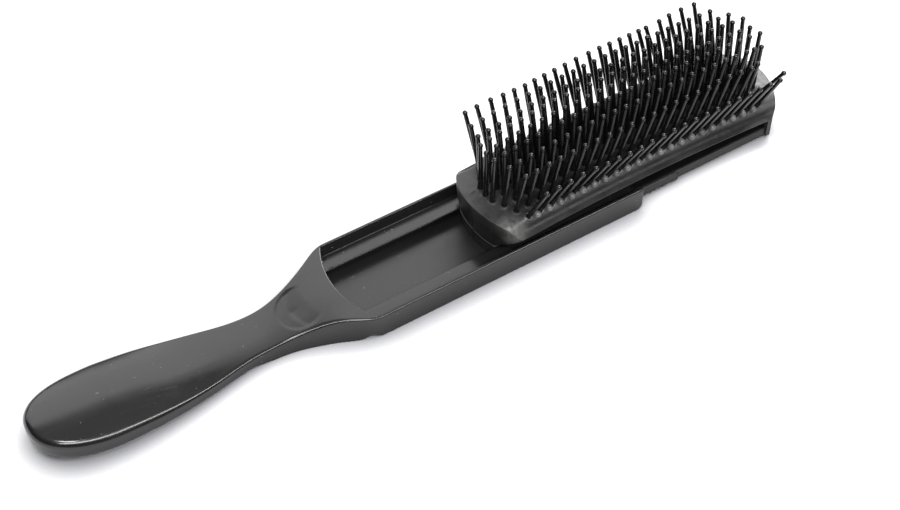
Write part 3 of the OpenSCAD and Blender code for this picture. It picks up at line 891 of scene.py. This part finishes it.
def build_cushion_base():
    """Web, stepped flange and end wall of the cushion."""
    gx1 = 115.3
    v, f = [], []

    def put(vv, ff):
        b = len(v)
        v.extend(vv)
        f.extend([tuple(b + i for i in q) for q in ff])

    # web: a low lower block, a fine ridge at rail height, and the upper part
    o = lambda half, ins, x1=gx1 + 1: plan_outline(half, x1, inset=ins)
    put(*prism([(o(10.9, 0.30), 1.35), (o(10.9, 0.15), 1.45), (o(10.9, 0.13), 5.2), (o(10.9, -0.22), 5.4), (o(10.9, -0.24), 5.75), (o(10.9, 0.1), 5.92),
                (o(10.9, 0.2), 9.0), (o(10.6, 0.5), 12.2)]))
    # flange, wide part
    step = 73.8
    w0, w1 = 16.0, 15.5
    RD = [(0.0, 3.5), (0.08, 3.88), (0.29, 4.2), (0.62, 4.42), (1.0, 4.5)]     # rounded top edge
    put(*prism([(plan_outline(w0, step, inset=0.2), 1.12), (plan_outline(w0, step, inset=0.05), 1.2), (plan_outline(w0, step), 1.4)] +
               [(plan_outline(w0, step, inset=i), z) for i, z in RD]))

    # flange, narrow part towards the tip
    def bar(half, x0, x1, ins):
        h = half - ins
        return [(x1 - ins, -h), (x1 - ins, h), (x0 + ins, h), (x0 + ins, -h)][::-1]
    put(*prism([(bar(w1, step - 1.5, gx1 + 2, 0.2), 1.12), (bar(w1, step - 1.5, gx1 + 2, 0.05), 1.2), (bar(w1, step - 1.5, gx1 + 2, 0.0), 1.4)] +
               [(bar(w1, step - 1.5, gx1 + 2, i), z) for i, z in RD]))
    # the inner corner at the flange's step is filled with a small radius
    for sg in (1, -1):
        ar = [(step + 1.1 * (1 - math.sin(a)), sg * (w1 + 1.1 * (1 - math.cos(a)))) for a in np.linspace(0, math.pi / 2, 7)]
        loop = [(step - 0.5, sg * (w1 - 0.5))] + [(step + 1.1, sg * (w1 - 0.5))] + [(px, min(abs(py), w0) * sg) for px, py in ar] + [(step - 0.5, sg * w0)]
        put(*prism([(loop, 1.3), (loop, 3.6)]))

    # thin torn flash along the flange's lower edge, where the mould closed
    rng = np.random.RandomState(31)
    for sg in (1, -1):
        xs = np.linspace(55.2, step - 0.4, 58)
        ja = 0.12 + 0.42 * rng.rand(len(xs)) ** 2 * (0.35 + 0.65 * np.abs(np.sin(xs * 0.9)))
        jz = 1.30 + 0.5 * (rng.rand(len(xs)) - 0.5)
        b0 = len(v)
        for x, a, z in zip(xs, ja, jz):
            v.extend([(x, sg * (w0 - 0.4), 1.2), (x, sg * (w0 + a), z - 0.07), (x, sg * (w0 + a), z + 0.07), (x, sg * (w0 - 0.4), 2.0)])
        for i in range(len(xs) - 1):
            for k in range(4):
                kk = (k + 1) % 4
                f.append((b0 + i * 4 + k, b0 + i * 4 + kk, b0 + (i + 1) * 4 + kk, b0 + (i + 1) * 4 + k))
        f.append((b0 + 3, b0 + 2, b0 + 1, b0))
        e = b0 + (len(xs) - 1) * 4
        f.append((e, e + 1, e + 2, e + 3))

    # end wall at the tip, curved in plan
    def endo(half, ins):
        h = half - ins
        pts = [(gx1 + ins, h), (gx1 + ins, -h)]
        xc = PAD_X1 - 0.1 - END_R
        for y in np.linspace(-h, h, 31):
            pts.append((xc + math.sqrt((END_R - ins) ** 2 - y * y), y))
        return pts
    put(*prism([(endo(16.4, 0.3), 1.15), (endo(16.4, 0.08), 1.25), (endo(16.4, 0.0), 1.5), (endo(16.4, 0.0), 8.0), (endo(16.9, 0.0), 12.6), (endo(16.6, 0.6), 13.6)]))
    ob = new_object("cushion_base", v, f, sharp=38)
    weighted(ob)
    return ob


# ------------------------------------------------------------------ pins
def pin_shape(root, tip, r_root, r_tip, ball, bend):
    """One ball-ended pin from root to the centre of its ball, slightly bowed."""
    root, tip = np.array(root, float), np.array(tip, float)
    d = tip - root
    L = np.linalg.norm(d)
    d = d / L
    side = np.cross(d, (0, 0, 1.0)) if abs(d[2]) < 0.99 else np.cross(d, (0, 1.0, 0))
    side /= np.linalg.norm(side)
    up = np.cross(d, side)
    n = 14
    verts, faces = [], []
    ts = [-0.14, 0.0, 0.03, 0.08, 0.2, 0.35, 0.5, 0.65, 0.8, 0.93]
    rs = [r_root * 1.3, r_root * 1.28, r_root * 1.12, r_root * 1.02] + [r_root + (r_tip - r_root) * t for t in ts[4:]]
    for t, r in zip(ts, rs):
        c = root + d * L * t + (side * bend[0] + up * bend[1]) * (4 * t * (1 - t) if t > 0 else 0)
        for k in range(n):
            a = 2 * math.pi * k / n
            verts.append(c + r * (side * math.cos(a) + up * math.sin(a)))
    # neck and ball
    al = np.linspace(math.radians(146), math.radians(10), 9)
    for a in al:
        c = tip + d * math.cos(a) * ball * 1.06
        r = max(ball * math.sin(a), r_tip * 0.97 if a > math.radians(100) else 0)
        for k in range(n):
            b = 2 * math.pi * k / n
            verts.append(c + r * (side * math.cos(b) + up * math.sin(b)))
    rows = len(ts) + len(al)
    for i in range(rows - 1):
        for k in range(n):
            kk = (k + 1) % n
            faces.append((i * n + k, i * n + kk, (i + 1) * n + kk, (i + 1) * n + k))
    verts.append(tip + d * ball * 1.06)
    last = len(verts) - 1
    for k in range(n):
        faces.append(((rows - 1) * n + k, (rows - 1) * n + (k + 1) % n, last))
    faces.append(tuple(range(n - 1, -1, -1)))
    return verts, faces


# How far the tips of each row stray from straight, along the brush and upwards; "None" joins evenly.
STRAY = [
    ([-0.4, -0.2, 0.7, 1.2, 1.1, 1.0, 0.2, -0.4, -0.7, -1.0, -0.9, -0.2, -0.1, -0.4, -0.7, -1.1, -1.6, -3.0, -1.8, -2.1, -1.3, 0.0],
     [-0.7, -0.6, -0.5, -1.1, -1.4, -1.7, -1.3, -1.1, -1.0, -0.7, -0.3, -0.1, 0, 0, 0.1, 0.2, 0.3, 0.5, 1.1, 2.1, 2.6, 2.7]),
    ([-1.0, -1.1, -1.3, -1.3, -1.1, -1.1, -0.9, -1.3, -1.3, -1.3, -1.5, -1.8, -1.8, -2.0, -2.2, -2.1, -2.2, -2.3, -2.3, -2.2, -2.2, -2.1, -1.9],
     [-1.5, -1.2, -0.7, -0.2, -0.1, 0.0, 0.2, 0.6, 0.9, 1.0, 1.2, 1.3, 1.4, 1.5, 1.4, 1.3, 1.7, 1.7, 1.9, 2.0, 2.2, 2.3, 2.3]),
    ([0.3, -0.3, -0.8, -1.2, -1.6, -1.6, -1.6, None, -0.7], [-1.9, -1.6, -1.3, -0.8, -0.4, 0.3, 0.7, None, 2.4]),
    ([0.3, -0.7, -1.4, -1.9, -2.2, -2.5, -2.5, -2.7, None, -0.5], [-1.2, -0.6, -0.1, 0.5, 0.7, 1.3, 1.6, 2.1, None, 2.5]),
    ([0, -0.6, -0.9, -1.1, -1.1, -1.2, -1.2, None, -0.6], [-0.8, -0.3, 0, 0.5, 0.8, 1.2, 1.4, None, 1.6]),
    ([-0.1, -0.8, -1.2, -1.3, -1.3, -1.5, -1.3, -1.0, None, -0.2], [-0.6, -0.1, 0, 0.2, 0.5, 0.8, 0.7, 1.2, None, 1.9]),
    ([0.4, -0.4, -0.6, -0.6, -0.5, -0.2, 0.2, 0.5, 0.5, 0.6, 0.5, 0.7, 0.6, 0.6, 0.7, 0.8, 0.6, 0.9, 1.1, 1.4, 1.2, 1.5, None, -1.1],
     [-1.3, -1.0, -0.8, -0.7, -0.3, -0.1, 0.1, 0.2, 0.4, 0.2, 0.1, 0.1, 0.3, 0.5, 0.5, 0.6, 1.1, 0.9, 0.8, 1.1, 0.9, 0.8, None, 0.8]),
    ([0.5, 0, 0.2, 0.1, 0.5, 0.7, 1.0, 1.3, 1.3, 1.2, 1.2, 1.1, 1.1, 1.1, 1.0, 1.0, 1.2, 0.6, 0.9, 1.3, 1.7, -0.5, 1.6],
     [-0.9, -1.0, -0.8, -0.9, -0.9, -0.9, -1.2, -1.4, -1.7, -1.6, -1.7, -1.7, -1.4, -1.1, -1.0, -0.8, -0.9, 0, 0.1, -0.1, -0.5, 0.7, -1.8]),
    ([0.7, 0.7, 0.8, 1.0, 1.6, 1.6, 1.5, 1.4, None, 0.9], [-1.1, -1.0, -1.1, -0.8, -1.2, -1.6, -1.8, -2.2, None, 0.2]),
]


def fill_in(vals, n):
    """Values for n pins; those the list leaves open run evenly from one side to the other."""
    if None not in vals:
        return list(vals), [False] * n
    k = vals.index(None)
    head, tail = vals[:k], vals[k + 1:]
    gap = n - len(head) - len(tail)
    mid = [head[-1] + (tail[0] - head[-1]) * (i + 1) / (gap + 1) for i in range(gap)]
    return head + mid + tail, [False] * k + [True] * gap + [False] * len(tail)


def build_pins(r):
    y0, lean, off, n = ROWS[r]
    rng = np.random.RandomState(100 + r)
    dx, loose = fill_in(STRAY[r][0], n)
    dz, _ = fill_in(STRAY[r][1], n)
    v, f = [], []
    for i in range(n):
        x = FIRST_X + off + PITCH * i
        z = float(pad_top(np.array(x), np.array(abs(y0)))) + float(arch(x))
        L = 20.6
        a = math.radians(lean)
        j = rng.rand(6) - 0.5
        k = 0.35 if loose[i] else 0.0
        tx = x + dx[i] + k * j[0]
        ty = y0 + L * math.sin(a) + 0.15 * j[1]
        if r == 7 and i == n - 1:                 # the last pin of this row is splayed outwards
            ty -= 6.4
        tz = min(44.78, z + L * math.cos(a) + dz[i] + k * j[2])
        root = (x, y0 + 0.15 * j[3], z - 0.1)
        vv, ff = pin_shape(root, (tx, ty, tz), 0.79 if r > 6 else 0.95, 0.74 if r > 5 else 0.78, 0.97 + 0.02 * j[4], (0.2 * j[4], 0.2 * j[5]))
        b = len(v)
        v += vv
        f += [tuple(b + k for k in q) for q in ff]
    # moulded strip that joins the pins under the rubber
    xs = np.linspace(FIRST_X + off - 1.4, FIRST_X + off + PITCH * (n - 1) + 1.4, 40)
    a = math.radians(lean)
    b = len(v)
    dn = np.array((0, -math.sin(a), -math.cos(a)))
    sd = np.array((0, math.cos(a), -math.sin(a)))
    for x in xs:
        z = float(pad_top(np.array(x), np.array(abs(y0)))) + float(arch(x))
        c = np.array((x, y0, z))
        for s, t in ((-0.85, 2.4), (0.85, 2.4), (0.85, 4.0), (-0.85, 4.0)):
            v.append(c + sd * s + dn * t)
    for i in range(len(xs) - 1):
        for k in range(4):
            kk = (k + 1) % 4
            f.append((b + i * 4 + k, b + i * 4 + kk, b + (i + 1) * 4 + kk, b + (i + 1) * 4 + k))
    f.append((b + 3, b + 2, b + 1, b))
    e = b + (len(xs) - 1) * 4
    f.append((e, e + 1, e + 2, e + 3))
    return new_object("pin_row_%d" % (r + 1), v, f)


# ------------------------------------------------------------------ stage and light
def area(name, loc, target, sx, sy, power, col=(1, 1, 1)):
    li = bpy.data.lights.new(name, "AREA")
    li.shape = "RECTANGLE"
    li.size, li.size_y = sx, sy
    li.energy = power
    li.color = col
    ob = bpy.data.objects.new(name, li)
    scene.collection.objects.link(ob)
    d = Vector(target) - Vector(loc)
    ob.matrix_world = Matrix.Translation(Vector(loc)) @ d.to_track_quat("-Z", "Y").to_matrix().to_4x4()
    return ob


def build_stage():
    n = 24
    s = 2.4
    v = [(-s + 2 * s * i / n, -s + 2 * s * j / n, 0.0) for i in range(n + 1) for j in range(n + 1)]
    me = bpy.data.meshes.new("floor")
    me.from_pydata(v, [], grid_quads(n + 1, n + 1))
    ob = bpy.data.objects.new("floor", me)
    scene.collection.objects.link(ob)
    me.materials.append(floor_white())
    w = bpy.data.worlds.new("studio")
    w.use_nodes = True
    bg = w.node_tree.nodes["Background"]
    bg.inputs[0].default_value = (1.0, 1.0, 1.0, 1)
    wt = w.node_tree
    gco = wt.nodes.new("ShaderNodeTexCoord")
    gsep = wt.nodes.new("ShaderNodeSeparateXYZ")
    wt.links.new(gco.outputs["Generated"], gsep.inputs[0])
    wt.links.new(remap(wt, gsep.outputs[2], 0.50, 0.95, 0.05, 0.55), bg.inputs[1])
    scene.world = w

    def lamp(name, loc, target, sx, sy, radiance):
        return area(name, loc, target, sx, sy, radiance * math.pi * sx * sy)
    lamp("panel_back", (0.80, 1.05, 0.95), (0.80, 0, 0.95), 2.2, 1.3, 2.2)
    lamp("panel_back_upper", (0.80, 1.05, 1.78), (0.80, 0, 1.78), 2.2, 0.36, 1.2)
    lamp("key_right", (1.10, 0.55, 0.75), (0, 0, 0), 0.8, 0.8, 11.0)
    lamp("panel_left", (-0.55, 1.05, 1.05), (-0.55, 0, 1.05), 0.48, 1.5, 1.7)
    lamp("box_upper_left", (-0.30, -0.42, 1.05), (-0.02, 0, 0.01), 0.28, 0.28, 24.0)
    lamp("strip_front", (0.0, -0.784, 0.841), (0, 0, 0), 1.5, 0.18, 20.0)


# ------------------------------------------------------------------ put together
make_camera()
build_stage()
m_plastic, m_rubber, m_nylon = plastic_black(), rubber_black(), nylon_black()

handle = build_handle()
handle.data.materials.append(m_plastic)
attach(handle, "handle")
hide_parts("handle")

crown = build_cushion()
crown.data.materials.append(m_rubber)
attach(crown, "cushion")
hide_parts("cushion_pad")

dv, df = edge_domes()
domes = new_object("cushion_edge_domes", np.array(dv), df)
domes.data.materials.append(rubber_domes_painted_highlight())
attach(domes, "cushion")

base = build_cushion_base()
base.data.materials.append(rubber_lower_painted_shade())
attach(base, "cushion")

for r in range(9):
    p = build_pins(r)
    p.data.materials.append(m_nylon)
    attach(p, "cushion")
    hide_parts("pin_strip_%d" % (r + 1))

scene.view_settings.view_transform = "Standard"
scene.view_settings.look = "None"
